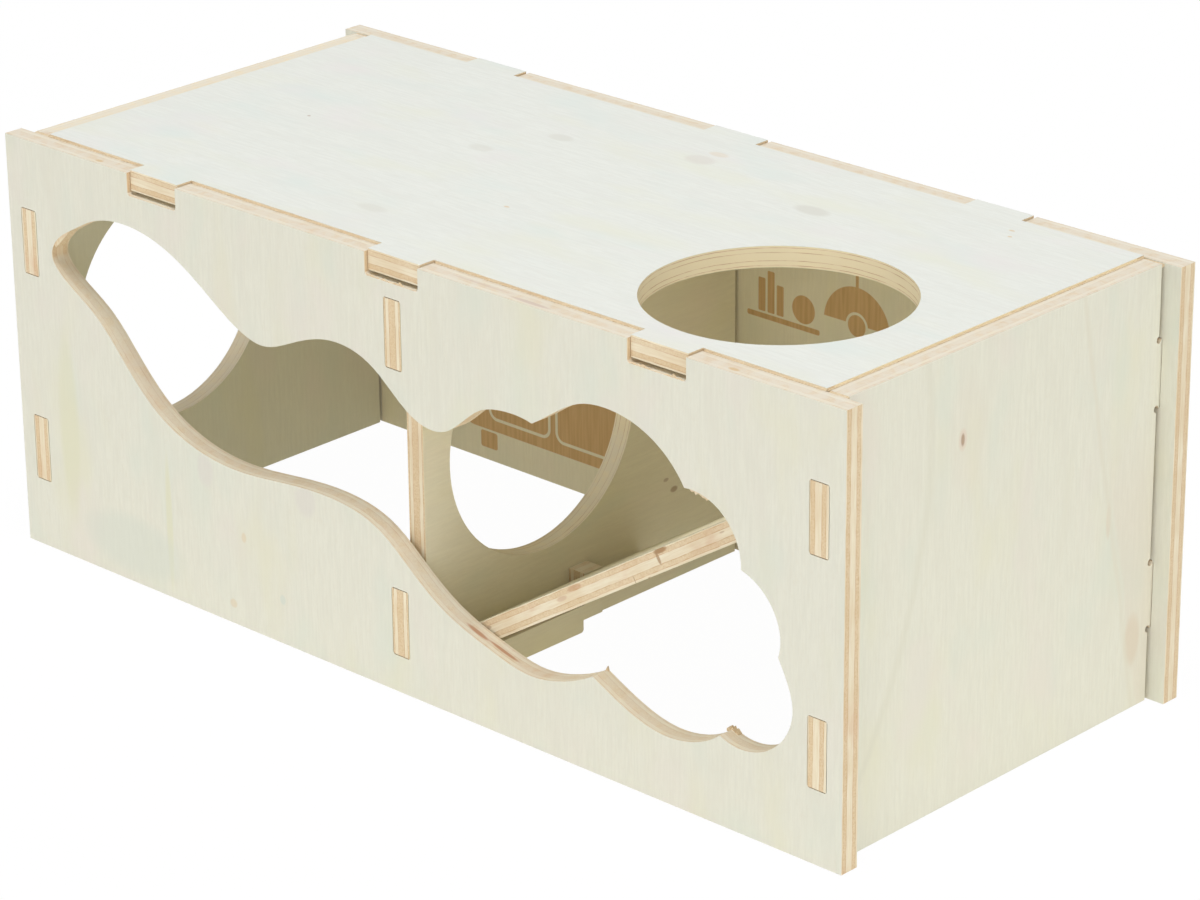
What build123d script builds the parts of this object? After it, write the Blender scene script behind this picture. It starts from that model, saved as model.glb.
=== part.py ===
from build123d import *
import os
from math import asin, atan2, cos, degrees, hypot, radians, sqrt

os.makedirs("parts", exist_ok=True)

# A slot-together plywood house for a hamster, in millimetres.
# X runs along the house, Y from front to back, Z up from the table it stands on.
# The origin is on the table, at the middle of the footprint.

# ---------------------------------------------------------------- driving dimensions

# Stock and outside of the house
thickness = 6.0             # plywood sheet of every piece
house_length = 312.0        # front and back panels
house_depth = 138.4         # over the outer faces of front and back panels
wall_height = 124.6         # front, back and end panels
end_overhang = 5.3          # front and back panels stand past the end panels

# Tabs and the mortises that take them
tab_length = 19.4
end_tab_inset = 30.7        # middle of an end panel's tab, from the wall's lower or upper edge
divider_tab_inset = 20.7    # the same for the divider
fit = 0.25                  # clearance on each side of a tab
mortise_corner = 0.8        # corner radius of a mortise
shoulder_gap = 1.2          # between a panel's shoulder and the wall that it meets
relief_radius = 1.0         # round relief cut at the root of each tab

# Roof: it rests on the divider, and its tabs drop into notches in the long walls
roof_sink = 5.3             # underside of the roof below the top of the walls
roof_side_gap = 0.5         # between the roof and the walls around it
roof_tab_width = 19.4
roof_tab_spacing = 94.2     # between neighbouring tabs along X
roof_tab_recess = 1.2       # tab ends lie this far inside the outer faces
notch_drop = 1.2            # free space under each roof tab
notch_corner = 1.0

# Round holes: one cutter size for all three
hole_radius = 36.0
entrance_height = 63.8      # middle of the hole in the left end panel
entrance_margin = 7.6       # from the front panel's inner face to the edge of the hole
doorway_height = 62.2       # middle of the hole in the divider
doorway_margin = 10.9
roof_hole_front = 4.7       # from the roof's front edge to the edge of its hole
roof_hole_end = 15.3        # from the roof's right edge to the edge of its hole

# Ramp and its foot
ramp_width = 84.0
ramp_low_height = 13.2      # top corner of the low end, on the divider
ramp_headroom = 24.6        # from the roof down to where the high end bears
ramp_side_gap = 0.5         # between the ramp and the front panel
lean_gap = 0.1              # where the loose ramp and its foot touch a neighbour
foot_width = 58.0
foot_inset = 21.5           # from the ramp's rear edge to the end of its foot
foot_leg_width = 42.8       # stretch of the foot that reaches the table
foot_lift = 3.6             # underside of the foot beside its leg
foot_tab_width = 7.0
foot_tab_rise = 4.3         # tab tops above the ramp's low corner
foot_corner = 1.0

# Window in the front panel: hills and a valley on the left, a cloud on the right.
window_end_gap = 6.3        # from the window's left tip to the left end panel
window_sill = 19.1          # solid strip under the window
window_head = 15.6          # solid strip over the window

# The window's outline as it was drawn, each point (x, z) from the middle of the panel's lower
# edge. The cloud's lobes meet in cusps, and the wave runs from one cusp round the tip to another.
cusp_top_left = (50.6, 92.5)
cusp_top_right = (103.4, 89.7)
cusp_right = (122.4, 73.0)
cusp_low_right = (134.7, 53.0)
cusp_bottom_right = (115.4, 25.3)
cusp_bottom_left = (71.2, 27.6)
wave_floor = [
    (60.0, 22.6), (48.0, 20.6), (34.0, 23.4), (17.0, 29.4), (4.0, 38.0), (-8.0, 46.2),
    (-24.0, 49.8), (-42.0, 49.2), (-62.0, 47.3), (-80.0, 49.0), (-95.0, 55.0), (-108.0, 66.0),
    (-121.0, 78.7), (-133.0, 86.0),
]
wave_tip = (-138.4, 92.5)
wave_roof = [
    (-136.4, 96.8), (-129.3, 101.8), (-120.4, 106.5), (-105.4, 109.0), (-89.0, 105.6),
    (-73.2, 97.1), (-60.0, 89.4), (-51.5, 87.4), (-40.0, 91.0), (-24.5, 95.9), (-9.2, 93.2),
    (10.2, 81.0), (17.0, 80.9), (31.9, 91.0), (41.0, 93.2),
]
crown = [(58.5, 97.6), (67.5, 102.5), (78.0, 103.8), (91.0, 100.6)]
shoulder_lobe = (115.2, 87.0)
side_lobe = [(127.3, 71.0), (131.8, 67.1), (135.1, 60.4)]
chin = [(137.5, 47.7), (139.6, 40.0), (134.6, 28.8), (124.0, 23.8)]
base = [(105.0, 20.0), (94.5, 19.1), (83.5, 21.9)]

# ---------------------------------------------------------------- worked-out places

wall_inside = house_depth / 2 - thickness                 # inner faces of front and back, from Y 0
end_inside = house_length / 2 - end_overhang - thickness  # inner faces of the end panels, from X 0
end_place = end_inside + thickness / 2
divider_height = wall_height - roof_sink
mortise_width = thickness + 2 * fit
mortise_length = tab_length + 2 * fit
end_tab_spacing = wall_height - 2 * end_tab_inset
divider_tab_spacing = wall_height - 2 * divider_tab_inset
notch_width = roof_tab_width + 2 * fit
notch_depth = roof_sink + notch_drop
entrance_y = entrance_margin + hole_radius - wall_inside
doorway_y = doorway_margin + hole_radius - wall_inside
roof_half_length = end_inside - roof_side_gap
roof_half_depth = wall_inside - roof_side_gap
roof_hole_x = roof_half_length - roof_hole_end - hole_radius
roof_hole_y = roof_hole_front + hole_radius - roof_half_depth

# The ramp is a plank wedged between the divider and the right end panel. Its low top corner and
# its high bottom corner bear, so those two points give its length and its slope.
ramp_low_x = thickness / 2 + lean_gap
ramp_run = end_inside - lean_gap - ramp_low_x
ramp_rise = divider_height - ramp_headroom - ramp_low_height
ramp_diagonal = hypot(ramp_run, ramp_rise)
ramp_length = sqrt(ramp_diagonal**2 - thickness**2)
ramp_angle = degrees(atan2(ramp_rise, ramp_run) + asin(thickness / ramp_diagonal))
ramp_y = ramp_width / 2 + ramp_side_gap - wall_inside
ramp_slope = cos(radians(ramp_angle))
ramp_notch_depth = (thickness + 2 * lean_gap + fit) / ramp_slope
foot_top = ramp_low_height - thickness * ramp_slope - lean_gap
foot_tab_top = ramp_low_height + foot_tab_rise
foot_tab_spacing = foot_width - foot_tab_width
foot_y = ramp_y + ramp_width / 2 - foot_inset - foot_width / 2

# The drawn window is stretched to fill the clear part of the panel.
drawn_low = base[1][1]
drawn_high = wave_roof[3][1]
window_stretch_x = (end_inside - window_end_gap) / -wave_tip[0]
window_stretch_z = (wall_height - window_head - window_sill) / (drawn_high - drawn_low)


# ---------------------------------------------------------------- shared shapes

def on_panel(point):
    """A drawn point of the window, stretched to its place on the front panel."""
    x, z = point
    return x * window_stretch_x, window_sill + (z - drawn_low) * window_stretch_z


def window_line(*points):
    """One stretch of the window's outline: an arc through three points, or a spline."""
    placed = [on_panel(point) for point in points]
    if len(placed) == 3:
        return ThreePointArc(*placed)
    return Spline(placed)


def window_outline():
    """The closed outline: the wave with its tip, then the cloud lobe by lobe."""
    window_line(cusp_bottom_left, *wave_floor, wave_tip, *wave_roof, cusp_top_left)
    window_line(cusp_top_left, *crown, cusp_top_right)
    window_line(cusp_top_right, shoulder_lobe, cusp_right)
    window_line(cusp_right, *side_lobe, cusp_low_right)
    window_line(cusp_low_right, *chin, cusp_bottom_right)
    window_line(cusp_bottom_right, *base, cusp_bottom_left)


def long_wall():
    """Sketch of the front or back panel: mortises for both end panels and the divider."""
    Rectangle(house_length, wall_height, align=(Align.CENTER, Align.MIN))
    with Locations((0, wall_height / 2)):
        with GridLocations(2 * end_place, end_tab_spacing, 2, 2):
            RectangleRounded(mortise_width, mortise_length, mortise_corner, mode=Mode.SUBTRACT)
        with GridLocations(0, divider_tab_spacing, 1, 2):
            RectangleRounded(mortise_width, mortise_length, mortise_corner, mode=Mode.SUBTRACT)
    with Locations((0, wall_height)):
        with GridLocations(roof_tab_spacing, 0, 3, 1):
            RectangleRounded(notch_width, 2 * notch_depth, notch_corner, mode=Mode.SUBTRACT)


def cross_wall(height, tab_spacing):
    """Sketch of a wall that runs front to back, with two tabs at each side edge."""
    shoulder = wall_inside - shoulder_gap
    Rectangle(2 * shoulder, height, align=(Align.CENTER, Align.MIN))
    with Locations((0, wall_height / 2)):
        with GridLocations(0, tab_spacing, 1, 2):
            Rectangle(house_depth, tab_length)
            with GridLocations(2 * shoulder, tab_length, 2, 2):
                Circle(relief_radius, mode=Mode.SUBTRACT)


# ---------------------------------------------------------------- long walls

with BuildPart() as front_panel:
    with BuildSketch(Plane.XZ.offset(wall_inside)):
        long_wall()
        with BuildLine():
            window_outline()
        make_face(mode=Mode.SUBTRACT)
    extrude(amount=thickness)
front_panel.part.label = "front_panel"

with BuildPart() as back_panel:
    with BuildSketch(Plane.XZ.offset(-house_depth / 2)):
        long_wall()
    extrude(amount=thickness)
back_panel.part.label = "back_panel"

# ---------------------------------------------------------------- cross walls

with BuildPart() as left_end_panel:
    with BuildSketch(Plane.YZ.offset(-end_inside - thickness)):
        cross_wall(wall_height, end_tab_spacing)
        with Locations((entrance_y, entrance_height)):
            Circle(hole_radius, mode=Mode.SUBTRACT)
    extrude(amount=thickness)
left_end_panel.part.label = "left_end_panel"

with BuildPart() as right_end_panel:
    with BuildSketch(Plane.YZ.offset(end_inside)):
        cross_wall(wall_height, end_tab_spacing)
    extrude(amount=thickness)
right_end_panel.part.label = "right_end_panel"

with BuildPart() as divider_panel:
    with BuildSketch(Plane.YZ.offset(-thickness / 2)):
        cross_wall(divider_height, divider_tab_spacing)
        with Locations((doorway_y, doorway_height)):
            Circle(hole_radius, mode=Mode.SUBTRACT)
    extrude(amount=thickness)
divider_panel.part.label = "divider_panel"

# ---------------------------------------------------------------- roof

with BuildPart() as roof_panel:
    with BuildSketch(Plane.XY.offset(divider_height)):
        Rectangle(2 * roof_half_length, 2 * roof_half_depth)
        with GridLocations(roof_tab_spacing, 0, 3, 1):
            Rectangle(roof_tab_width, house_depth - 2 * roof_tab_recess)
        with Locations((roof_hole_x, roof_hole_y)):
            Circle(hole_radius, mode=Mode.SUBTRACT)
    extrude(amount=thickness)
roof_panel.part.label = "roof_panel"

# ---------------------------------------------------------------- ramp

ramp_top = Plane((ramp_low_x, ramp_y, ramp_low_height)).rotated((0, -ramp_angle, 0))

with BuildPart() as ramp_board:
    with BuildSketch(ramp_top):
        Rectangle(ramp_length, ramp_width, align=(Align.MIN, Align.CENTER))
        with Locations((0, foot_y - ramp_y)):
            with GridLocations(0, foot_tab_spacing, 1, 2):
                Rectangle(2 * ramp_notch_depth, foot_tab_width + 2 * fit, mode=Mode.SUBTRACT)
    extrude(amount=-thickness)
ramp_board.part.label = "ramp_board"

with BuildPart() as ramp_foot:
    with BuildSketch(Plane.YZ.offset(ramp_low_x)):
        with Locations((foot_y, 0)):
            Rectangle(foot_leg_width, foot_top, align=(Align.CENTER, Align.MIN))
        fillet(vertices().group_by(Axis.Y)[0], foot_corner)
        with Locations((foot_y, foot_lift)):
            Rectangle(foot_width, foot_top - foot_lift, align=(Align.CENTER, Align.MIN))
            with GridLocations(foot_tab_spacing, 0, 2, 1):
                Rectangle(foot_tab_width, foot_tab_top - foot_lift, align=(Align.CENTER, Align.MIN))
    extrude(amount=thickness)
ramp_foot.part.label = "ramp_foot"

# ---------------------------------------------------------------- files

for piece in (front_panel, back_panel, left_end_panel, right_end_panel, divider_panel, roof_panel,
              ramp_board, ramp_foot):
    export_step(piece.part, f"parts/{piece.part.label}.step")

print(f"ramp: {ramp_length:.1f} long, rises at {ramp_angle:.1f} degrees, foot top at {foot_top:.2f}")
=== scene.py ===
# %% [markdown]
# # A slot-together plywood house for a hamster
#
# The house is a flat-pack kit: eight pieces cut from five-ply sheet, held by tabs alone. Their
# shapes come from the CAD frame and are used as they are. What is left for Blender is the wood
# itself: a thin white wash over the faces, bare layered edges wherever the cutter went through,
# and a few torn fibres that the cutter left behind.

# %% Load the frame
import math

import bmesh
import bpy
import numpy as np
from mathutils import Matrix, Vector


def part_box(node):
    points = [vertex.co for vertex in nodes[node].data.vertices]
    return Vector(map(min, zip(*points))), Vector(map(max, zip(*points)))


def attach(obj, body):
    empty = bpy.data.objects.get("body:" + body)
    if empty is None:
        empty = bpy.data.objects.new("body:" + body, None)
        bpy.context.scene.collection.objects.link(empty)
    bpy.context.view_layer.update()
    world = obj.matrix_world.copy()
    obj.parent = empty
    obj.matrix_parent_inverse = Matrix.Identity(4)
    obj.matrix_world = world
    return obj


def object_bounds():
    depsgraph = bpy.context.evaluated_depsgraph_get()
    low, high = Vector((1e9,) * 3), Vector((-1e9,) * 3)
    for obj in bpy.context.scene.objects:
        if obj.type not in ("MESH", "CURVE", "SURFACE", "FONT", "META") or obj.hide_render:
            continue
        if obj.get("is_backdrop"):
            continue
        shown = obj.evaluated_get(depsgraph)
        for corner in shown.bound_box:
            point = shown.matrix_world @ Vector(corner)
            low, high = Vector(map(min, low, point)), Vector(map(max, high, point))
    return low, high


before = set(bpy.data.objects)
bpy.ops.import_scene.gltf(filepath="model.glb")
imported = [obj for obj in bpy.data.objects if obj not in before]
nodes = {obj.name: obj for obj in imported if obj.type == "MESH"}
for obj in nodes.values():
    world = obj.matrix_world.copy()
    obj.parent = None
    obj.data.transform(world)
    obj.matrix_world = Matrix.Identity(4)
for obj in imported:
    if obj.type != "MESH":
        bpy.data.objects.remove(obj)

cad_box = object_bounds()
MM = 0.001                      # a millimetre in Blender's metres
print("pieces:", ", ".join(sorted(nodes)))

# %% [markdown]
# ## Numbers that the wood shares
#
# Paint charts give colours as 0 to 255 on a screen, but a shader wants them linear, so one small
# function converts them. Everything about the wood is in millimetres, because veneers, glue lines
# and pores are fractions of a millimetre or a few of them.

# %% Colours
def paint(red, green, blue):
    """A screen colour, 0 to 255, as the linear colour that a shader takes.

    Low values are divided by 12.92. The rest are raised to the power 2.4 after an offset.
    """
    level = np.array([red, green, blue]) / 255
    linear = np.where(level <= 0.04045, level / 12.92, ((level + 0.055) / 1.055) ** 2.4)
    return (*linear.tolist(), 1.0)


print("a mid grey is", [round(c, 3) for c in paint(128, 128, 128)[:3]])

# %% [markdown]
# ## Writing a material as sums
#
# A node tree is hard to read back. A `Wire` wraps one output socket and adds a Math node for each
# Python operator, so a formula in the script looks like the formula that it is. Every other node
# comes from one method, `Finish.node`, which takes the node's type, then its settings, then the
# values or wires of its sockets.

# %% A wire that can be added, multiplied and compared
class Wire:
    """One value on its way through a material. Each operator adds the Math node of that name."""

    def __init__(self, finish, socket):
        self.finish = finish
        self.socket = socket

    def maths(self, operation, first, second=0.0):
        """A Math node on two values, of which at least one is a wire."""
        return self.finish.node("ShaderNodeMath", {"operation": operation}, {0: first, 1: second})

    def __add__(self, other):
        return self.maths("ADD", self, other)

    __radd__ = __add__

    def __sub__(self, other):
        return self.maths("SUBTRACT", self, other)

    def __rsub__(self, other):
        return self.maths("SUBTRACT", other, self)

    def __mul__(self, other):
        return self.maths("MULTIPLY", self, other)

    __rmul__ = __mul__

    def __truediv__(self, other):
        return self.maths("DIVIDE", self, other)

    def __pow__(self, other):
        return self.maths("POWER", self, other)

    def __abs__(self):
        return self.maths("ABSOLUTE", self)

    def __lt__(self, other):
        return self.maths("LESS_THAN", self, other)

    def __gt__(self, other):
        return self.maths("GREATER_THAN", self, other)

    def larger(self, other):
        """The larger of two values."""
        return self.maths("MAXIMUM", self, other)

    def smaller(self, other):
        """The smaller of two values."""
        return self.maths("MINIMUM", self, other)


# %% A finish and the nodes that feed it
class Finish:
    """The nodes of a material, or of the world, in the making."""

    def __init__(self, holder, surface="Principled BSDF"):
        holder.use_nodes = True
        self.holder = holder
        self.tree = holder.node_tree
        self.surface = self.tree.nodes[surface]

    def feed(self, socket, value):
        """Links a wire to a socket, or sets the socket to a plain value."""
        if isinstance(value, Wire):
            self.tree.links.new(value.socket, socket)
        else:
            socket.default_value = value

    def node(self, kind, settings=None, inputs=None, output=0):
        """Any node: its type, its settings, its inputs, and which of its outputs is wanted."""
        made = self.tree.nodes.new(kind)
        for name, value in (settings or {}).items():
            setattr(made, name, value)
        for name, value in (inputs or {}).items():
            self.feed(made.inputs[name], value)
        return Wire(self, made.outputs[output])

    def noise(self, place, size, detail=2.0, roughness=0.5):
        """Noise between 0 and 1 whose grains are about `size` mm."""
        inputs = {"Vector": place, "Scale": 1.0 / size, "Detail": detail, "Roughness": roughness}
        return self.node("ShaderNodeTexNoise", {"noise_dimensions": "3D"}, inputs, "Fac")

    def ease(self, value, low, high, start=0.0, end=1.0):
        """Goes smoothly from `start` at `low` to `end` at `high`, and stays there."""
        settings = {"interpolation_type": "SMOOTHSTEP"}
        inputs = {0: value, 1: low, 2: high, 3: start, 4: end}
        return self.node("ShaderNodeMapRange", settings, inputs)

    def blend(self, amount, first, second):
        """The first colour where the amount is 0, the second where it is 1."""
        settings = {"data_type": "RGBA", "clamp_factor": True}
        return self.node("ShaderNodeMix", settings, {0: amount, 6: first, 7: second}, 2)

    def multiply(self, amount, first, second):
        """The first colour, times the second one where the amount is 1."""
        settings = {"data_type": "RGBA", "blend_type": "MULTIPLY", "clamp_factor": True}
        return self.node("ShaderNodeMix", settings, {0: amount, 6: first, 7: second}, 2)

    def vector(self, x, y, z):
        """Three values as one vector."""
        return self.node("ShaderNodeCombineXYZ", None, {0: x, 1: y, 2: z})

    def parts(self, vector):
        """One vector as its three values."""
        return [self.node("ShaderNodeSeparateXYZ", None, {0: vector}, axis) for axis in range(3)]

    def along(self, vector, direction):
        """How much of a vector lies along a fixed direction: their dot product."""
        settings = {"operation": "DOT_PRODUCT"}
        return self.node("ShaderNodeVectorMath", settings, {0: vector, 1: direction}, "Value")


print("a finish feeds a", bpy.types.ShaderNodeBsdfPrincipled.bl_rna.name, "node")

# %% [markdown]
# ## Where a point is in its sheet
#
# Plywood is layered, so a sheet's own directions matter more than the room's: along the face
# grain, across it, and through the thickness with the good side positive. A Mapping node turns
# Object coordinates into those three distances. The layers then run on by themselves round every
# hole and tab, as they do in a real sheet, and no edge is painted by hand.

# %% Directions, and the ramp's slope
UP = Vector((0, 0, 1))
RIGHT = Vector((1, 0, 0))
BACK = Vector((0, 1, 0))


def broad_side(node):
    """The direction that a piece's largest upward side faces.

    The areas of its triangles are summed for each direction, and the largest sum that has an
    upward direction wins.
    """
    mesh = nodes[node].data
    normals = np.empty(3 * len(mesh.polygons))
    areas = np.empty(len(mesh.polygons))
    mesh.polygons.foreach_get("normal", normals)
    mesh.polygons.foreach_get("area", areas)
    directions, group = np.unique(normals.reshape(-1, 3).round(3), axis=0, return_inverse=True)
    sums = np.bincount(group.ravel(), weights=areas) * (directions[:, 2] > 0.1)
    return Vector(directions[sums.argmax()]).normalized()


ramp_face = broad_side("ramp_board")
ramp_up = BACK.cross(ramp_face)
print(f"the ramp rises at {math.degrees(ramp_face.angle(UP)):.1f} degrees")

# %% [markdown]
# Each piece was cut from its own part of a sheet, and no two sheets are alike. In one the core is
# off centre, in another the plies hardly differ in colour. A small table holds these facts: the
# direction of the face grain, the side that faces out, how far the core is off centre, how much
# the end grain darkens on either side of it, how much pink heartwood the plies have, how much a
# painted highlight brightens their cuts indoors, for light that the rooms lack, and a number that
# shifts the figure so that no two pieces show the same one. The core's offset is in millimetres
# and the shares are from 0 to 1.

# %% The sheets
SHEETS = {
    # piece:            grain,   good side, core, end grain,    pink, indoor highlight, figure
    "front_panel":     (UP,      -BACK,     0.1,  (0.8, 0.9),   0.35, 0.0,  3),
    "back_panel":      (UP,      BACK,      0.0,  (0.8, 0.7),   0.10, 0.0,  11),
    "left_end_panel":  (UP,      -RIGHT,    0.0,  (0.8, 0.8),   0.50, 0.60, 5),
    "right_end_panel": (UP,      RIGHT,     -0.3, (0.9, 1.0),   0.15, 0.0,  17),
    "divider_panel":   (BACK,    RIGHT,     0.0,  (1.0, 1.0),   0.05, 0.90, 8),
    "roof_panel":      (RIGHT,   UP,        0.0,  (0.9, 0.6),   0.05, 0.95, 2),
    "ramp_board":      (ramp_up, ramp_face, 0.2,  (0.7, 0.7),   0.55, 0.0,  14),
    "ramp_foot":       (BACK,    RIGHT,     0.0,  (0.8, 0.8),   0.10, 0.0,  6),
}
front_low, front_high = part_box("front_panel")
HALF = (front_high.y - front_low.y) / MM / 2    # half the thickness of the sheet, mm
WALL_TOP = front_high.z / MM                    # how high the walls are, mm
print(f"sheet {2 * HALF:.2f} mm thick, walls {WALL_TOP:.1f} mm high")


# %% A place in a sheet
FIGURE_STEPS = (311, 173)       # how far apart two figures start, along and across, mm


class Place:
    """Where a point is in its sheet, as wires, in mm from the sheet's middle."""

    def __init__(self, finish, node):
        self.finish = finish
        self.grain, self.good_side, self.core, self.darkening, self.pink, self.pale, figure = \
            SHEETS[node]
        low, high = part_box(node)
        middle = (low + high) / 2
        self.middle = middle / MM
        self.cross = self.good_side.cross(self.grain)
        turn = Matrix((self.grain, self.cross, self.good_side)).transposed().to_euler()
        self.world = finish.node("ShaderNodeTexCoord", output="Object")
        settings = {"vector_type": "TEXTURE"}
        inputs = {"Vector": self.world, "Location": middle, "Rotation": turn,
                  "Scale": (MM, MM, MM)}
        sheet = finish.node("ShaderNodeMapping", settings, inputs)
        self.along, self.across, self.through = finish.parts(sheet)
        self.normal = finish.node("ShaderNodeNewGeometry", output="Normal")
        # The figure's own coordinates start somewhere else in each sheet.
        self.figure_along = self.along + FIGURE_STEPS[0] * figure
        self.figure_across = self.across + FIGURE_STEPS[1] * figure

    def numbers(self, point):
        """The same three distances for one fixed point of the house, (x, y, z) in mm."""
        offset = Vector(point) - self.middle
        return [offset.dot(axis) for axis in (self.grain, self.cross, self.good_side)]

    def stretched(self, along=1.0, across=1.0):
        """The figure's coordinates, squeezed so that noise on them comes out stretched."""
        return self.finish.vector(
            self.figure_along / along, self.figure_across / across, self.through)


print("figures:", {node: row[-1] for node, row in SHEETS.items()})

# %% [markdown]
# ## Five plies and four glue lines
#
# A five-ply sheet has thin face veneers, two cross plies and a core. The grain of the cross plies
# is turned by a right angle. Where the cutter runs along the fibres they show as fine streaks in
# cream wood, and where it runs across them they show as tan end grain with darker pores. Noise
# that is stretched along the fibres gives both looks from one formula, because a cut across a
# bundle of long threads shows dots. The plies could be cut as solids, but as a solid pattern they
# cost nothing and follow every curve of the window.

# %% Plies and their colours
CORE = 1.15                     # half the thickness of the core, mm
VENEER = 2.45                   # where the face veneer starts, from the middle, mm
GLUE = 0.16                     # half the width of a glue line, mm
WANDER = 0.35                   # how far a ply wanders from its level, mm
BORDER = 0.05                   # half the width of the change from one ply to the next, mm
THREAD = 16                     # how many times longer than wide a fibre is
CUTS_INSIDE = 60.0              # tab ends lie beyond this, holes within it, mm

CREAM = paint(243, 232, 207)
STRAW = paint(234, 218, 188)
SAND = paint(231, 210, 176)
TAN = paint(219, 192, 151)
UMBER = paint(178, 142, 104)
BLUSH = paint(220, 180, 146)
# painted highlight: the paler colour of cuts indoors, for light that doesn't reach them
RESIN = paint(200, 156, 106)
# painted highlight: the pale colour that upward cuts get, as if lit from above
TOP_HIGHLIGHT = paint(234, 228, 214)
HIGHLIGHT_IVORY = paint(255, 241, 206)
print("plies reach to", [CORE, VENEER, round(HALF, 2)], "mm from the sheet's middle")


# %% Bare edge
def bare_wood(finish, place):
    """The colour of bare plywood anywhere in the sheet, and its fibre as a height."""
    wobble = finish.noise(place.stretched(), 7.0) - 0.5
    depth = abs(place.through + wobble * WANDER - place.core)
    crosswise = finish.ease(depth, CORE - BORDER, CORE + BORDER)
    crosswise = crosswise - finish.ease(depth, VENEER - BORDER, VENEER + BORDER)

    # Fibres are long threads: noise squeezed along them, in the direction of each ply.
    settings = {"data_type": "VECTOR"}
    inputs = {0: crosswise, 4: place.stretched(along=THREAD),
              5: place.stretched(across=THREAD)}
    threads = finish.node("ShaderNodeMix", settings, inputs, 1)
    fibre = finish.noise(threads, 0.55, 4.0, 0.65)
    pores = finish.ease(finish.noise(threads, 0.30, 2.0, 0.6), 0.58, 0.70)

    # How squarely the cut crosses the fibres: the square of the cosine to their direction.
    over_length = finish.along(place.normal, place.grain) ** 2
    over_width = finish.along(place.normal, place.cross) ** 2
    end_grain = over_length + (over_width - over_length) * crosswise
    low, high = place.darkening
    end_grain = end_grain * finish.ease(place.through, -0.6, 0.6, low, high)

    tone = finish.noise(place.stretched(), 13.0, 1.0)
    long_cut = finish.blend(finish.ease(fibre, 0.34, 0.70), CREAM, STRAW)
    cross_cut = finish.blend(finish.ease(fibre, 0.34, 0.70), SAND, TAN)
    cross_cut = finish.blend(pores * 0.30, cross_cut, UMBER)
    colour = finish.blend(finish.ease(end_grain, 0.10, 0.90), long_cut, cross_cut)
    colour = finish.blend(finish.ease(tone, 0.40, 0.75, 0.0, 0.35), colour, TAN)
    heart = finish.noise(place.stretched(along=1.6, across=1.6), 11.0, 3.0, 0.6)
    colour = finish.blend(finish.ease(heart, 0.50, 0.72, 0.0, place.pink), colour, BLUSH)

    # Cuts that stay indoors are painted paler: a painted highlight for the light that the rooms
    # lack.
    indoors = abs(finish.along(place.world, BACK)) < CUTS_INSIDE * MM
    colour = finish.blend(indoors * place.pale, colour, HIGHLIGHT_IVORY)

    seam = finish.ease(abs(depth - CORE), GLUE, 0.0)
    seam = seam.larger(finish.ease(abs(depth - VENEER), GLUE, 0.0))
    patchy = finish.ease(finish.noise(place.stretched(), 4.0), 0.30, 0.65, 0.20, 0.85)
    return finish.blend(seam * patchy, colour, RESIN), fibre


print("glue lines at", [-VENEER, -CORE, CORE, VENEER], "mm")


# %% Ovals, and the painted highlight on upward cuts
def oval(finish, place, where, size):
    """1 inside a soft ellipsoid, 0 outside it.

    The three distances from its middle are divided by its half sizes along, across and through
    the sheet. Their squares add up to 1 on its surface.
    """
    offsets = zip((place.along, place.across, place.through), place.numbers(where), size)
    squares = [((wire - number) / half) ** 2 for wire, number, half in offsets]
    return finish.ease(squares[0] + squares[1] + squares[2], 1.0, 0.25)


EDGE_RIM = 1.5                  # how far down the walls' upper edges reach, mm


def lit_top(finish, place, bare, stains=()):
    """Cuts are painted paler the more they face up, and the walls' upper edges most: a painted
    highlight from the light above.

    Stains are soft ovals on level cuts: (where, half sizes, colour, strength).
    """
    height = finish.along(place.world, UP) / MM
    upwards = finish.along(place.normal, UP)
    level = finish.ease(upwards, 0.7, 0.95)
    patchy = finish.ease(finish.noise(place.stretched(), 3.0, 3.0), 0.30, 0.60, 0.40, 0.75)
    amount = level * finish.ease(height, WALL_TOP - EDGE_RIM, WALL_TOP - 0.3)
    amount = amount.larger(finish.ease(upwards, 0.1, 0.5, 0.0, 0.75)) * patchy
    # painted highlight on the cuts that face up
    colour = finish.blend(amount, bare, TOP_HIGHLIGHT)
    for where, size, stain, strength in stains:
        inside = oval(finish, place, where, size) * level
        colour = finish.blend(inside * strength, colour, stain)
    return colour


# the painted highlight on the walls' upper edges starts here
print("the wash on upper edges starts", round(WALL_TOP - EDGE_RIM, 1), "mm up")

# %% [markdown]
# ## The washed faces
#
# The faces carry a thin white wash. Through it the veneer shows as short streaks, as slow bands
# that follow the tree's rings, and as clouds that lean to yellow, grey-green or pink. The wash is
# only on the very surface: it starts where a point is within a few hundredths of a millimetre of
# the face.

# %% Wash over the veneer
SKIN = 0.04                     # how deep the wash goes, mm


def tinted(colour, red, green, blue):
    """A wash colour, moved by a few of its 255 steps."""
    return paint(*(step + move for step, move in zip(colour, (red, green, blue))))


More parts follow.
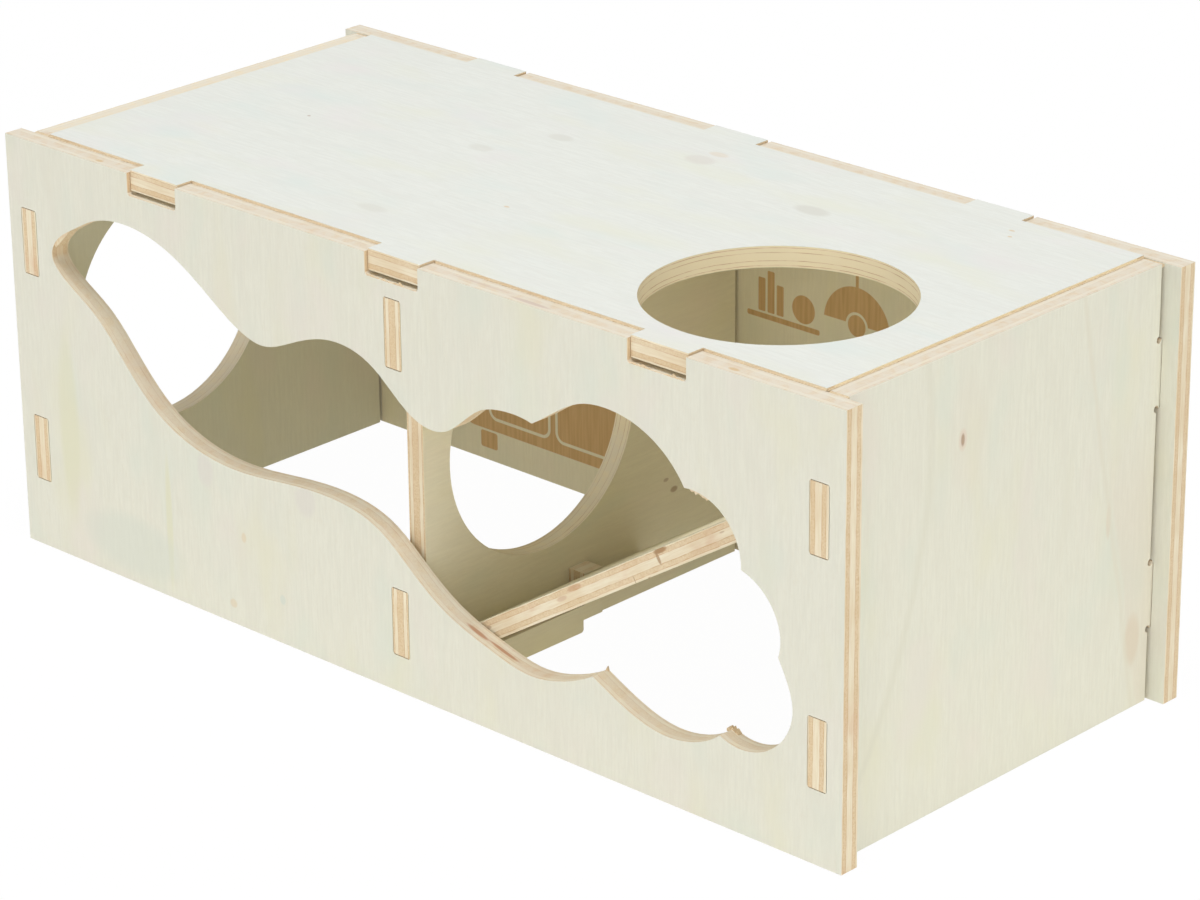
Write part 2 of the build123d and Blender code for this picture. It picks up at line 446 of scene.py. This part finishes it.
def veneer_face(finish, place, wash):
    """The washed veneer: its colour, and its streaks as a height."""
    streak = finish.noise(place.stretched(along=11), 1.0, 3.0, 0.65)
    fleck = finish.noise(place.stretched(along=2.5), 0.9, 2.0, 0.6)
    bend = finish.noise(place.stretched(along=2), 40.0, 1.0) * 26
    rings = finish.noise(
        finish.vector(place.figure_along / 9, place.figure_across + bend, place.through), 5.0)
    yellow = finish.noise(place.stretched(along=2.6), 17.0, 2.0)
    teal = finish.noise(place.stretched(along=1.5, across=0.8), 23.0, 2.0)
    pink = finish.noise(place.stretched(along=1.8, across=1.2), 19.0, 2.0)
    light, dark = tinted(wash, 3, 3, 2), tinted(wash, -3, -3, -4)
    colour = finish.blend(finish.ease(streak, 0.30, 0.72), light, dark)
    layers = [
        # pattern, from, to, most, tint
        (fleck, 0.45, 0.80, 0.5, (-3, -5, -8)),
        (rings, 0.45, 0.80, 0.6, (-3, -4, -5)),
        (yellow, 0.50, 0.78, 0.7, (0, -1, -11)),
        (teal, 0.52, 0.80, 0.7, (-8, -2, -2)),
        (pink, 0.54, 0.80, 0.6, (2, -4, -1)),
    ]
    for pattern, low, high, most, tint in layers:
        amount = finish.ease(pattern, low, high, 0.0, most)
        colour = finish.blend(amount, colour, tinted(wash, *tint))
    return colour, streak


print("the wash is", SKIN, "mm deep")

# %% [markdown]
# Indoors the wash is thinner, so the wood shows warmer through it, and the indoor faces are also
# painted brighter, a painted light for the light that the rooms lack. Most pieces have one side
# indoors, and the divider, the ramp and its foot have both. The long walls run on past the end
# panels as flanges, which are outdoors on both sides.

# %% A finished sheet
ALL_INDOORS = ("divider_panel", "ramp_board", "ramp_foot")
# painted light: indoor faces are made brighter for the light the rooms lack, and warmer for the
# thin wash
THIN_WASH_AND_LIGHT = (1.14, 1.08, 0.95, 1.0)
WALLS_INSIDE = 144.9            # the rooms end just short of this, mm from the middle


def plywood(node, wash, stains=(), marks=(), extra=None):
    """The material of one piece, put into the slots of its CAD node.

    Stains are on its upper cut and marks on its faces: (where, half sizes, colour, strength).
    `extra` is a function that changes the colour and the relief of this piece alone.
    """
    finish = Finish(bpy.data.materials.new(f"{node}_wood"))
    place = Place(finish, node)
    bare, fibre = bare_wood(finish, place)
    bare = lit_top(finish, place, bare, stains)
    face, streak = veneer_face(finish, place, wash)
    inner = 1.0 if node in ALL_INDOORS else (place.through < 0)
    inner = inner * (abs(finish.along(place.world, RIGHT)) < WALLS_INSIDE * MM)
    # the indoor faces get the warmer thin wash and a painted brightening for the rooms' missing
    # light
    face = finish.multiply(inner, face, THIN_WASH_AND_LIGHT)
    for where, size, mark, strength in marks:
        face = finish.blend(oval(finish, place, where, size) * strength, face, mark)
    skin = abs(place.through) > HALF - SKIN
    colour = finish.blend(skin, bare, face)
    relief = fibre + (streak * 0.6 - fibre) * skin
    if extra:
        colour, relief = extra(finish, place, colour, relief)
    bump = {"Strength": 0.35, "Distance": 0.05 * MM, "Height": relief}
    finish.feed(finish.surface.inputs["Base Color"], colour)
    finish.feed(finish.surface.inputs["Roughness"], 0.88 - skin * 0.18 + streak * 0.08)
    finish.feed(finish.surface.inputs["Normal"], finish.node("ShaderNodeBump", None, bump))
    finish.surface.inputs["Specular IOR Level"].default_value = 0.35
    for slot in nodes[node].material_slots:
        slot.material = finish.holder
    print(f"{node}: {len(finish.tree.nodes)} shader nodes")


# %% The colours of washes, stains and knots
WASH = (228, 226, 212)
END_WASH = (233, 231, 215)
ROOF_WASH = (232, 234, 228)
YELLOWED = paint(223, 221, 192)
PINKISH = paint(229, 216, 196)
GREYED = paint(215, 219, 206)
KNOT = paint(150, 104, 62)
OCHRE = paint(219, 190, 142)
DUSTY = paint(218, 217, 207)
MAUVE = paint(220, 214, 206)
MAUVE_BROWN = paint(205, 182, 166)
HEARTWOOD = paint(190, 134, 98)
print("washes:", WASH, END_WASH, ROOF_WASH)

# %% [markdown]
# ## The engraved wall
#
# The back wall's inner face carries a brown engraving that shows through the openings. Here it is
# a plain room: a low cupboard on the left, and a shelf and a hanging lamp on the right.
# Each motif is built from signed distances, the usual way to draw crisp shapes with numbers.

# %% Shapes as distances
ENGRAVED = paint(219, 181, 127)
ENGRAVED_DARK = paint(205, 165, 110)


def box_shape(x, z, centre, size, corner=0.0):
    """Distance to a box with rounded corners: outside it, the length of what sticks out."""
    over_x = abs(x - centre[0]) - (size[0] / 2 - corner)
    over_z = abs(z - centre[1]) - (size[1] / 2 - corner)
    outside = (over_x.larger(0.0) ** 2 + over_z.larger(0.0) ** 2) ** 0.5
    return outside + over_x.larger(over_z).smaller(0.0) - corner


def disc_shape(x, z, centre, radius):
    """Distance to a disc: distance to its centre, less its radius."""
    return ((x - centre[0]) ** 2 + (z - centre[1]) ** 2) ** 0.5 - radius


print("engraving colours:", [round(c, 2) for c in ENGRAVED + ENGRAVED_DARK])


# %% The motifs
def cupboard(x, z):
    """A low cupboard: a box on two legs, less a line round each door and a dot for each knob."""
    body = box_shape(x, z, (-72, 27), (78, 34), 7)
    door = (25, 26)
    doors = abs(box_shape(x, z, (-85, 27), door, 3))
    doors = doors.smaller(abs(box_shape(x, z, (-57, 27), door, 3)))
    knobs = disc_shape(x, z, (-75, 27), 1.5).smaller(disc_shape(x, z, (-67, 27), 1.5))
    body = body.larger(0.5 - doors).larger(0.4 - knobs)
    for leg in (-98, -46):
        body = body.smaller(box_shape(x, z, (leg, 6.6), (7, 5.4), 0.8))
    return body


def lamp(x, z):
    """A hanging lamp: a cord, half a disc for the shade, and a bulb set off by a clear ring."""
    bulb = disc_shape(x, z, (47, 80.6), 3.2)
    shade = disc_shape(x, z, (47, 80), 12).larger(81 - z).larger(0.8 - bulb)
    return shade.smaller(bulb).smaller(box_shape(x, z, (47, 108), (1.1, 34)))


def shelf(x, z):
    """A wall shelf: a board, three books that stand on it, and a round clock."""
    board = box_shape(x, z, (20, 75), (27, 1.6), 0.6)
    for book, height in ((12, 10), (15.4, 12.5), (18.8, 9)):
        board = board.smaller(box_shape(x, z, (book, 76.4 + height / 2), (2.6, height), 0.4))
    return board.smaller(disc_shape(x, z, (27.5, 80.5), 4.2))


def room_scene(finish, place, colour, relief):
    """Paints the engraving on the inner face and sinks it a little."""
    x = finish.along(place.world, RIGHT) / MM
    z = finish.along(place.world, UP) / MM
    drawn = cupboard(x, z).smaller(lamp(x, z)).smaller(shelf(x, z))
    mask = finish.ease(drawn, 0.12, -0.12) * (place.through < SKIN - HALF)
    grain = finish.noise(place.stretched(along=20), 1.0, 3.0)
    ink = finish.blend(finish.ease(grain, 0.3, 0.7), ENGRAVED, ENGRAVED_DARK)
    return finish.blend(mask * 0.95, colour, ink), relief - mask * 2


print("motifs:", ", ".join(motif.__name__ for motif in (cupboard, lamp, shelf)))

# %% [markdown]
# ## Figure that runs through a whole panel
#
# The right end panel is the one that shows its veneer best. Two long ring lines sweep down it,
# the strip behind the second one is pinkish heartwood, and a small knot sits near its top. A ring
# line is a parabola: the place across the panel is a quadratic in the height. The second one
# leans but doesn't bend.

# %% Rings of the right end
# How far back a ring line is at half the height, mm, how it leans, and how it bends.
FIRST_RING = (-36.9, 0.304, 0.0038)
SECOND_RING = (42.8, -0.21, 0.0)


def end_figure(finish, place, colour, relief):
    """Two ring lines, and heartwood beyond the second one."""
    outside = place.through > HALF - SKIN
    back = finish.along(place.world, BACK) / MM
    waver = (finish.noise(place.stretched(along=3), 9.0) - 0.5) * 3
    first, second = [
        back - (middle + place.along * lean - place.along ** 2 * bend) + waver
        for middle, lean, bend in (FIRST_RING, SECOND_RING)]
    lower = finish.ease(place.along, 30.0, -10.0)
    line = finish.ease(abs(first), 2.6, 0.0, 0.0, 0.45) * outside
    colour = finish.blend(line, colour, tinted(END_WASH, -9, -10, -14))
    line = finish.ease(abs(second), 1.6, 0.0, 0.0, 0.6) * outside
    colour = finish.blend(line, colour, tinted(END_WASH, -5, -8, -12))
    heart = finish.ease(second, 0.0, 3.0, 0.0, 0.35) * lower * outside
    return finish.blend(heart, colour, PINKISH), relief


print("ring lines at", FIRST_RING[0], "and", SECOND_RING[0], "mm")

# %% [markdown]
# Three more pieces have a look of their own. The left end's inner face is painted darker and
# greener than the others, a painted shade for the left room. The ramp's front edge shows a knot, a
# joint between two strips and a few brown flecks. The window's sill has heartwood in its plies
# where the ramp meets it.

# %% A face in painted shade, and marks on two cut edges
# painted shade: darkens the left end's inner face, for the shade in the left room
LEFT_ROOM_SHADE = (0.80, 0.83, 0.86, 1.0)
RAMP_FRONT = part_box("ramp_board")[0].y / MM


def shaded_inside(finish, place, colour, relief):
    """The left end's inner face is painted darker and greener than the others: painted shade for
    the left room.
    """
    return finish.multiply(place.through < SKIN - HALF, colour, LEFT_ROOM_SHADE), relief


RAMP_MARKS = [
    # where it is, half sizes, colour, strength
    ((89.1, RAMP_FRONT, 66.4), (3.2, 3.0, 0.9), UMBER, 1.0),
    ((88.5, RAMP_FRONT, 64.0), (0.7, 3.0, 2.2), UMBER, 0.8),
    ((85.6, RAMP_FRONT, 57.4), (1.2, 3.0, 0.6), UMBER, 0.9),
    ((58.7, RAMP_FRONT, 46.8), (3.6, 3.0, 0.9), HEARTWOOD, 0.45),
    ((54.2, RAMP_FRONT, 42.3), (2.6, 3.0, 0.8), HEARTWOOD, 0.35),
    ((27.0, RAMP_FRONT, 25.6), (1.4, 3.0, 0.6), UMBER, 0.5),
    ((110.2, RAMP_FRONT, 77.6), (1.2, 3.0, 0.3), UMBER, 0.4),
    ((80.4, RAMP_FRONT, 55.2), (0.20, 3.0, 2.0), UMBER, 0.7),
]


def ramp_edge(finish, place, colour, relief):
    """A knot that is shaped like a T, a butt joint and a few brown flecks on the front edge."""
    edge = finish.along(place.normal, -BACK) > 0.5
    for where, size, mark, strength in RAMP_MARKS:
        colour = finish.blend(oval(finish, place, where, size) * edge * strength, colour, mark)
    return colour, relief


SILL_MARKS = [
    ((27.0, -66.6, 27.0), (9, 5, 0.9), HEARTWOOD, 0.8),
    ((36.0, -66.3, 22.0), (7, 7, 0.7), HEARTWOOD, 0.8),
]


def window_edge(finish, place, colour, relief):
    """Pink-brown heartwood in two plies of the window's sill, in front of the ramp's low end."""
    upwards = finish.ease(finish.along(place.normal, UP), 0.1, 0.4)
    for where, size, mark, strength in SILL_MARKS:
        colour = finish.blend(oval(finish, place, where, size) * upwards * strength, colour, mark)
    return colour, relief


print("marks on the ramp's edge and the sill:", len(RAMP_MARKS), len(SILL_MARKS))

# %% [markdown]
# ## Knots, stains and smears
#
# Small marks make a sheet believable. They could be scattered by noise, but the eye remembers a
# knot by its place, so each one is a soft oval at a chosen point of the house, with its own half
# sizes along the grain, across it and through the sheet.

# %% Marks on the right end and the front
FRONT_FACE = front_low.y / MM
END_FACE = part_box("right_end_panel")[1].x / MM
LID_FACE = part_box("roof_panel")[1].z / MM
DIVIDER_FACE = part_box("divider_panel")[1].x / MM
DEEP = 2.0                      # how far a mark reaches below a face, mm
END_DEEP = 3.5

END_MARKS = [
    # where it is, half sizes, colour, strength
    ((END_FACE, -16.0, 100.3), (20, 9, END_DEEP), PINKISH, 0.15),
    ((END_FACE, -18.3, 100.1), (3.6, 2.0, END_DEEP), PINKISH, 0.9),
    ((END_FACE, -18.3, 100.1), (2.1, 0.9, END_DEEP), KNOT, 0.6),
    ((END_FACE, 55.0, 20.3), (9, 4, END_DEEP), paint(222, 205, 178), 0.6),
    ((END_FACE, 43.0, 58.3), (6, 1.2, END_DEEP), paint(224, 210, 186), 0.5),
]
FRONT_MARKS = [
    ((-135.0, FRONT_FACE, 41.0), (34, 5, DEEP), YELLOWED, 0.6),
    ((-93.2, FRONT_FACE, 23.0), (24, 1.6, DEEP), YELLOWED, 0.7),
    ((-108.9, FRONT_FACE, 11.6), (11, 25, DEEP), GREYED, 0.55),
    ((-62.0, FRONT_FACE, 27.6), (1.8, 1.2, DEEP), OCHRE, 0.35),
    ((-67.4, FRONT_FACE, 6.1), (1.6, 1.8, DEEP), OCHRE, 0.35),
    ((-46.9, FRONT_FACE, 13.3), (1.8, 1.4, DEEP), GREYED, 0.8),
    ((-77.0, FRONT_FACE, 43.7), (6, 4, DEEP), MAUVE, 0.5),
    ((-36.3, FRONT_FACE, 46.3), (6, 5, DEEP), MAUVE, 0.5),
]
print("marks on the right end and the front:", len(END_MARKS), len(FRONT_MARKS))

# %% Marks on the lid and the divider, and stains
ROOF_MARKS = [
    ((57.6, 31.5, LID_FACE), (7, 3.5, DEEP), DUSTY, 0.75),
    ((-34.7, 30.9, LID_FACE), (5, 3, DEEP), DUSTY, 0.5),
    ((8.1, 49.4, LID_FACE), (4, 2, DEEP), OCHRE, 0.25),
    ((7.1, 42.7, LID_FACE), (6, 4, DEEP), MAUVE, 0.5),
    ((-31.7, -45.3, LID_FACE), (6, 3, DEEP), DUSTY, 0.4),
    ((-45.2, 9.8, LID_FACE), (5, 3, DEEP), DUSTY, 0.4),
    ((-5.3, -20.6, LID_FACE), (1.2, 0.6, DEEP), OCHRE, 0.6),
    ((-101.7, -2.7, LID_FACE), (0.7, 0.6, DEEP), KNOT, 0.45),
    ((107.1, 54.7, LID_FACE), (1.2, 0.6, DEEP), OCHRE, 0.6),
    ((109.6, 50.7, LID_FACE), (0.9, 0.6, DEEP), OCHRE, 0.6),
]
DIVIDER_MARKS = [
    ((DIVIDER_FACE, 36.1, 27.7), (1.8, 1.1, DEEP), KNOT, 0.55),
    ((DIVIDER_FACE, 32.8, 31.5), (1.3, 0.7, DEEP), KNOT, 0.40),
]
FRONT_STAINS = [
    # on the upper edge: tan ovals where the cutter dwelt, and a brown smear between two tabs
    ((-117.6, -67.3, WALL_TOP), (3, 1.8, 0.9), OCHRE, 0.75),
    ((118.1, -67.1, WALL_TOP), (3, 2.2, 0.9), OCHRE, 0.80),
    ((49.0, -67.4, WALL_TOP), (3, 8.0, 1.0), MAUVE_BROWN, 0.55),
    ((30.0, -66.0, WALL_TOP), (3, 14.0, 0.5), MAUVE_BROWN, 0.35),
]
print("marks on the lid and the divider:", len(ROOF_MARKS), len(DIVIDER_MARKS))

# %% Dress the pieces
plywood("front_panel", WASH, FRONT_STAINS, FRONT_MARKS, window_edge)
plywood("back_panel", WASH, extra=room_scene)
plywood("left_end_panel", END_WASH, extra=shaded_inside)
plywood("right_end_panel", END_WASH, marks=END_MARKS, extra=end_figure)
plywood("divider_panel", WASH, marks=DIVIDER_MARKS)
plywood("roof_panel", ROOF_WASH, marks=ROOF_MARKS)
plywood("ramp_board", WASH, extra=ramp_edge)
plywood("ramp_foot", WASH)

# %% [markdown]
# ## Torn veneer
#
# A cutter that leaves the sheet tears the last fibres: they stand as a ragged crest on the floor
# of two notches, and hang as crumbs from the window's rim. Each tear is one thin strip whose free
# edge is a row of peaks. It could be drawn with a displacement, but the peaks are placed where
# fibres were torn, so a profile carried along a line gives them directly. The foot of each strip
# is sunk into the panel, so that it grows out of the wood.

# %% A profile carried along a line
def carried(name, rings):
    """Joins closed rings of points, in mm, into one closed piece.

    `rings` has the shape (stations, corners, 3). Each corner is joined to the same corner of the
    next ring and to its neighbour, and the first and last rings are filled.
    """
    stations, corners, _ = rings.shape
    index = np.arange(stations * corners).reshape(stations, corners)
    near, far = index[:-1], index[1:]
    sides = np.stack([near, far, np.roll(far, -1, 1), np.roll(near, -1, 1)], axis=2)
    faces = sides.reshape(-1, 4).tolist() + [index[0].tolist(), index[-1, ::-1].tolist()]
    mesh = bpy.data.meshes.new(name)
    mesh.from_pydata((rings.reshape(-1, 3) * MM).tolist(), [], faces)
    skin = bmesh.new()
    skin.from_mesh(mesh)
    bmesh.ops.recalc_face_normals(skin, faces=skin.faces)
    skin.to_mesh(mesh)
    skin.free()
    piece = bpy.data.objects.new(name, mesh)
    bpy.context.scene.collection.objects.link(piece)
    return piece


print("profiles are in mm, and a mesh in metres:", MM)

# %% Two such strips
TEAR_FRONT = FRONT_FACE + 0.03  # just below the front panel's outer face, mm
TEAR_STATIONS = 73              # how many profiles a strip has along its line
LIP_STATIONS = 97
TEAR_DIP = 0.05                 # how far a tear lies below its line between two peaks, mm


def torn_strip(name, foot, lift, peaks, front=TEAR_FRONT, thick=0.45, root=0.8):
    """A strip of torn veneer with a ragged free edge.

    `foot` is its line, two points (x, z). The free edge stands off from it in the direction
    `lift`, by the highest of several peaks. Each peak is (place along the foot from 0 to 1, half
    width, height): its height falls to nothing at its half width, along a power curve. A ripple
    of a fixed pitch frays the top. The strip lies `thick` deep behind `front`, and its root is
    sunk into the panel.
    """
    along = np.linspace(0, 1, TEAR_STATIONS)[:, None]
    centre, width, height = np.array(peaks).T
    tents = height * np.clip(1 - np.abs(along - centre) / width, 0, 1) ** 0.7
    ripple = 0.85 + 0.15 * np.sin(along[:, 0] * 90)
    rise = tents.max(axis=1) * ripple - TEAR_DIP
    start, end, lift = np.array(foot[0], float), np.array(foot[1], float), np.array(lift, float)
    line = start + (end - start) * along
    low, high = line - lift * root, line + lift * rise[:, None]
    flat = np.stack([low, high, high, low], axis=1)
    depth = np.broadcast_to([front, front, front + thick, front + thick], flat.shape[:2])
    return carried(name, np.stack([flat[..., 0], depth, flat[..., 1]], axis=2))


def lip(name, start, end, out, reach, top, sunk=0.3, tall=0.8, slope=0.15):
    """A thin lip of fibre that a saw leaves along a cut: a frayed bar that slopes outwards.

    `start` and `end` are the ends of the cut, two points (x, y), and `out` is the direction in
    which the lip sticks out by `reach`, less the sum of two fine ripples. Its inner part is sunk
    into the sheet by `sunk`. The bar's outer side is `tall` high and ends at the height `top`,
    and its inner side ends `slope` above that.
    """
    along = np.linspace(0, 1, LIP_STATIONS)[:, None]
    start, end, out = (np.array(point, float) for point in (start, end, out))
    line = start + (end - start) * along
    fray = 0.03 * (np.sin(along * 211) + np.sin(along * 97))
    inner, outer = line - out * sunk, line + out * (reach - fray)
    flat = np.stack([inner, inner, outer, outer], axis=1)
    height = np.broadcast_to([top - tall, top + slope, top, top - tall], flat.shape[:2])
    return carried(name, np.stack([flat[..., 0], flat[..., 1], height], axis=2))


print("tears in the front veneer start at", round(TEAR_FRONT, 2), "mm")


# %% Bare fibre
def bare_fibre():
    """Torn fibre: cream wood with fine streaks, rougher than a cut edge."""
    finish = Finish(bpy.data.materials.new("torn_fibre"))
    place = finish.node("ShaderNodeTexCoord", output="Object")
    inputs = {"Vector": place, "Scale": (1 / MM, 1 / MM, 0.15 / MM)}
    place = finish.node("ShaderNodeMapping", None, inputs)
    streak = finish.noise(place, 0.35, 3.0, 0.6)
    colour = finish.blend(finish.ease(streak, 0.30, 0.70), STRAW, TAN)
    finish.feed(finish.surface.inputs["Base Color"], colour)
    finish.feed(finish.surface.inputs["Roughness"], 0.85 + streak * 0.1)
    bump = {"Strength": 0.5, "Distance": 0.05 * MM, "Height": streak}
    finish.feed(finish.surface.inputs["Normal"], finish.node("ShaderNodeBump", None, bump))
    return finish.holder


fibre_finish = bare_fibre()
print("finish:", fibre_finish.name)

# %% The tears
NOTCH_FLOOR = WALL_TOP - 6.5    # the lid's tabs go 5.3 deep, and 1.2 is free under them, mm
TEARS = {
    # piece: foot line, direction it stands in, peaks, and where it is not the front veneer, its
    # front and its thickness
    "tear_notch_middle": (((-9.4, NOTCH_FLOOR), (9.4, NOTCH_FLOOR)), (0, 1), [
        (0.08, 0.10, 0.55), (0.20, 0.05, 0.35), (0.33, 0.05, 0.75), (0.45, 0.03, 0.30),
        (0.56, 0.05, 0.50), (0.66, 0.06, 1.05)]),
    "tear_notch_right": (((84.8, NOTCH_FLOOR), (103.6, NOTCH_FLOOR)), (0, 1), [
        (0.06, 0.07, 0.45), (0.17, 0.05, 0.60), (0.25, 0.06, 0.95), (0.33, 0.05, 0.50),
        (0.68, 0.05, 0.55), (0.79, 0.06, 1.00), (0.90, 0.05, 0.40)]),
    "tear_cusp_left": (((51.0, 93.2), (55.4, 95.7)), (0.49, -0.87), [
        (0.22, 0.16, 0.40), (0.55, 0.12, 0.50), (0.80, 0.14, 0.30)]),
    "tear_valley": (((-54.6, 88.0), (-50.6, 87.5)), (0, -1), [
        (0.30, 0.15, 0.55), (0.62, 0.10, 0.40)]),
    "tear_cusp_middle": (((104.4, 89.9), (112.0, 88.6)), (-0.1, -1), [
        (0.20, 0.08, 0.45), (0.38, 0.06, 0.75), (0.70, 0.10, 0.40), (0.85, 0.07, 0.60)]),
    "tear_sill_left": (((70.4, 27.3), (72.0, 27.1)), (0.1, 1), [(0.5, 0.35, 1.6)], -63.75),
    "tear_sill_right": (((113.6, 25.2), (117.6, 24.8)), (0, 1), [
        (0.25, 0.20, 0.9), (0.50, 0.15, 1.1), (0.75, 0.20, 0.8)], -64.6, 1.3),
    "tear_tip": (((-137.0, 95.6), (-130.4, 101.0)), (0.63, -0.77), [(0.0, 1.0, 0.95)], -69.1, 3.3),
}
for name, tear in TEARS.items():
    piece = torn_strip(name, *tear)
    piece.data.materials.append(fibre_finish)
    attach(piece, "house")
print("tears:", len(TEARS))

# %% [markdown]
# The lid lies in the walls with half a millimetre to spare, and its own frayed edge closes most
# of that gap: seen from above, a tan line runs round the lid, not a black one. The same fibre
# closes the joint where an end panel meets the front and the back. Each lip is a frayed bar. It
# stops at the tabs, where the lid reaches through the walls.

# %% Where the lips run
# All in mm, the first five from the middle of the house.
INNER_WALL = -front_high.y / MM
LID_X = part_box("roof_panel")[1].x / MM
LID_Y = INNER_WALL - 0.5        # the lid stops short of the long walls
SHOULDER_Y = INNER_WALL - 1.2   # and so do the shoulders of the end panels
JOINT_X = (LID_X + 0.6, END_FACE - 0.02)    # just within an end panel's two faces
TAB_AT = 94.2                   # how far the outer tabs are from the middle one
TAB_REACH = 10.2                # half a tab, and a little room beside it
CORNER = 0.1                    # how far short of the lid's corners the lips stop

EDGE_RUNS = [
    (-LID_X + CORNER, -TAB_AT - TAB_REACH),
    (-TAB_AT + TAB_REACH, -TAB_REACH),
    (TAB_REACH, TAB_AT - TAB_REACH),
    (TAB_AT + TAB_REACH, LID_X - CORNER),
]
print("runs between tabs:", [tuple(round(x, 1) for x in run) for run in EDGE_RUNS])

# %% The lips
LID_LIP = (0.40, WALL_TOP + 0.08)       # how far it reaches, and where its outer side ends, mm
JOINT_LIP = (1.10, WALL_TOP - 0.18)
LIPS = {}
for side, word in ((-1, "front"), (1, "back")):
    for number, (first, last) in enumerate(EDGE_RUNS, 1):
        ends = (first, side * LID_Y), (last, side * LID_Y)
        LIPS[f"lip_{word}_{number}"] = ("roof", *ends, (0, side), *LID_LIP)
for side, word in ((-1, "left"), (1, "right")):
    ends = (side * LID_X, -LID_Y + CORNER), (side * LID_X, LID_Y - CORNER)
    LIPS[f"lip_{word}"] = ("roof", *ends, (side, 0), *LID_LIP)
    for depth, wall in ((-1, "front"), (1, "back")):
        ends = [(side * x, depth * SHOULDER_Y) for x in JOINT_X]
        LIPS[f"joint_{word}_{wall}"] = ("house", *ends, (0, depth), *JOINT_LIP)
for name, (body, *shape) in LIPS.items():
    piece = lip(name, *shape)
    piece.data.materials.append(fibre_finish)
    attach(piece, body)
    "roof_plywood" if body == "roof" else "end_plywood"
print("lips:", len(LIPS))

# %% [markdown]
# ## Floor, light and camera
#
# The house stands on a white sweep. The floor sends soft light back to the wood, and it also
# glows a little of its own though it is no lamp, a painted light that lifts the wood's undersides
# and the rooms. Seen directly it is lifted to white, and it still keeps a little of the house's
# shadow. Stronger lamps would whiten the floor too, but they would bleach the wood as well.

# %% Floor
def looked_at(finish):
    """1 for rays that show a thing, directly or in a reflection, 0 for those that it lights by."""
    rays = [finish.node("ShaderNodeLightPath", output=ray)
            for ray in ("Is Camera Ray", "Is Glossy Ray", "Is Transmission Ray")]
    return (rays[0] + rays[1] + rays[2]).smaller(1.0)


def white_floor():
    """A wide plane just under the house."""
    size, drop = 6.0, 0.0002        # half its width, and how far it is under the house, m
    # the glow lights the wood from below though the floor is no lamp: painted light
    glow, whiteness = 0.22, 0.97    # its own light, and how white it is where it is looked at
    corners = [(-size, -size), (size, -size), (size, size), (-size, size)]
    mesh = bpy.data.meshes.new("floor")
    mesh.from_pydata([(x, y, -drop) for x, y in corners], [], [(0, 1, 2, 3)])
    floor = bpy.data.objects.new("floor", mesh)
    bpy.context.scene.collection.objects.link(floor)
    finish = Finish(bpy.data.materials.new("white_sweep"))
    finish.surface.inputs["Base Color"].default_value = (0.88, 0.88, 0.86, 1)
    finish.surface.inputs["Roughness"].default_value = 0.9
    finish.surface.inputs["Emission Color"].default_value = (1, 1, 0.98, 1)
    finish.surface.inputs["Emission Strength"].default_value = glow
    lit = Wire(finish, finish.surface.outputs[0])
    white = finish.node("ShaderNodeEmission", None, {"Color": (1, 1, 1, 1), "Strength": 1.0})
    lifted = finish.node("ShaderNodeMixShader", None, {0: whiteness, 1: lit, 2: white})
    mixed = finish.node("ShaderNodeMixShader", None, {0: looked_at(finish), 1: lit, 2: lifted})
    finish.feed(finish.tree.nodes["Material Output"].inputs["Surface"], mixed)
    mesh.materials.append(finish.holder)
    floor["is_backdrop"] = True
    return floor


print("floor:", white_floor().name)

# %% [markdown]
# Five large lamps and an even sky light the wood softly and at a plain level, at which a colour
# comes out about as it is written. Two lamps in front and one at the side balance the window's
# wall against the right end, one is behind, and the top one lights the lid. The sky is white
# where it is looked at, so that the floor has no visible end.

# %% Light
AIM = Vector((0, 0, 0.05))      # what the lamps face, m
SKY = 0.32                      # how strongly the sky lights the wood


def soft_light(name, place, size, power):
    """A square area light that faces the house: metres and watts."""
    lamp_data = bpy.data.lights.new(name, "AREA")
    lamp_data.size = size
    lamp_data.energy = power
    holder = bpy.data.objects.new(name, lamp_data)
    holder.location = place
    holder.rotation_euler = (AIM - Vector(place)).to_track_quat("-Z", "Y").to_euler()
    bpy.context.scene.collection.objects.link(holder)


sky = Finish(bpy.data.worlds.new("studio"), "Background")
sky.surface.inputs["Color"].default_value = (1, 1, 1, 1)
sky.feed(sky.surface.inputs["Strength"], SKY + looked_at(sky) * (1 - SKY))
bpy.context.scene.world = sky.holder
soft_light("left", (-0.9, -1.6, 0.3), 1.2, 6.7)
soft_light("right", (1.0, -1.15, 0.34), 1.4, 4.15)
soft_light("side", (1.7, -0.3, 0.5), 1.2, 4.2)
soft_light("behind", (-1.1, 1.3, 0.5), 1.4, 6)
soft_light("top", (0.3, -0.3, 2.2), 1.0, 26)

# %% [markdown]
# The camera stands in front of the house's right corner and looks down on the lid. Its lens is
# long, so that upright edges stay nearly parallel.

# %% Camera
camera_data = bpy.data.cameras.new("camera")
camera_data.lens = 135.43
camera_data.sensor_width = 36.0
camera = bpy.data.objects.new("camera", camera_data)
camera.location = (0.8009, -0.8303, 0.5274)
yaw, pitch, roll = math.radians(43.657), math.radians(22.489), math.radians(-0.590)
turn = Matrix.Rotation(yaw, 4, "Z") @ Matrix.Rotation(math.pi / 2 - pitch, 4, "X")
camera.rotation_euler = (turn @ Matrix.Rotation(roll, 4, "Z")).to_euler()
bpy.context.scene.collection.objects.link(camera)
bpy.context.scene.camera = camera
bpy.context.scene.view_settings.view_transform = "Standard"
print("camera looks from", [round(v, 2) for v in camera.location])

# %% Sizes and the end
boxes = {"cad": cad_box, "dressed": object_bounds()}
boxes = {name: [[float(v) for v in corner] for corner in box] for name, box in boxes.items()}
print(boxes)
